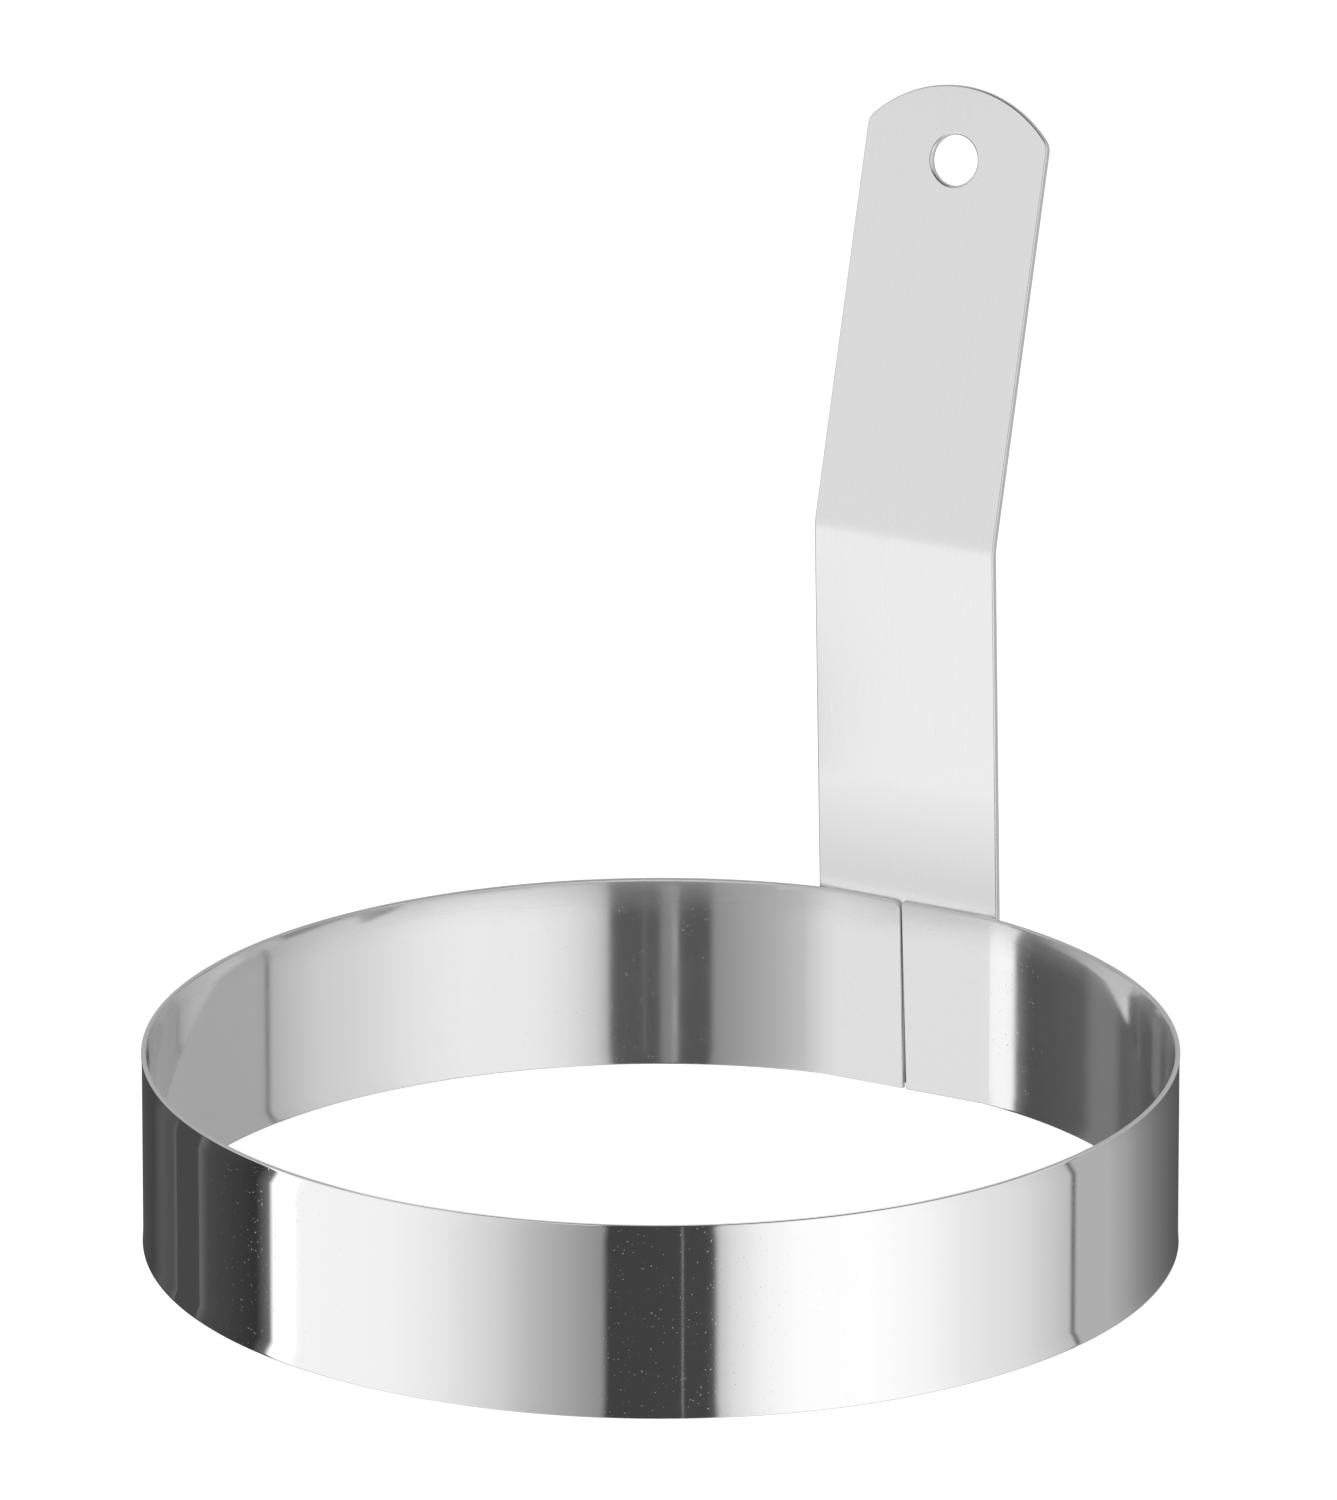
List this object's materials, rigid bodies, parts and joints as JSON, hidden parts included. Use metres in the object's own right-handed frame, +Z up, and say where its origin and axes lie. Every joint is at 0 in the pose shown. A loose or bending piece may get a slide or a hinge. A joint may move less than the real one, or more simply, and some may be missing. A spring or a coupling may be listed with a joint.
{
  "type": "egg ring",
  "caption": "Round egg ring: a narrow steel band bent into an open ring, with an upright strip handle spot welded over its seam, bent outward and holed at the tip.",
  "frame": {"origin": "centre of the ring's opening, level with the bottom rim that it stands on", "axes": "+Z up along the ring's axis, +Y towards the handle, square to the handle's face, +X to the right when the handle is seen from inside the ring"},
  "size_m": [0.1, 0.1107, 0.1003],
  "materials": {
    "polished_band": "polished stainless steel, with faint lines round the band",
    "satin_strip": "satin stainless steel, grain along the strip",
    "weld_metal": "fused steel, dull"
  },
  "bodies": {
    "root": {"ring_band": "polished_band", "handle": "satin_strip", "spot_welds": "weld_metal"}
  },
  "joints": []
}
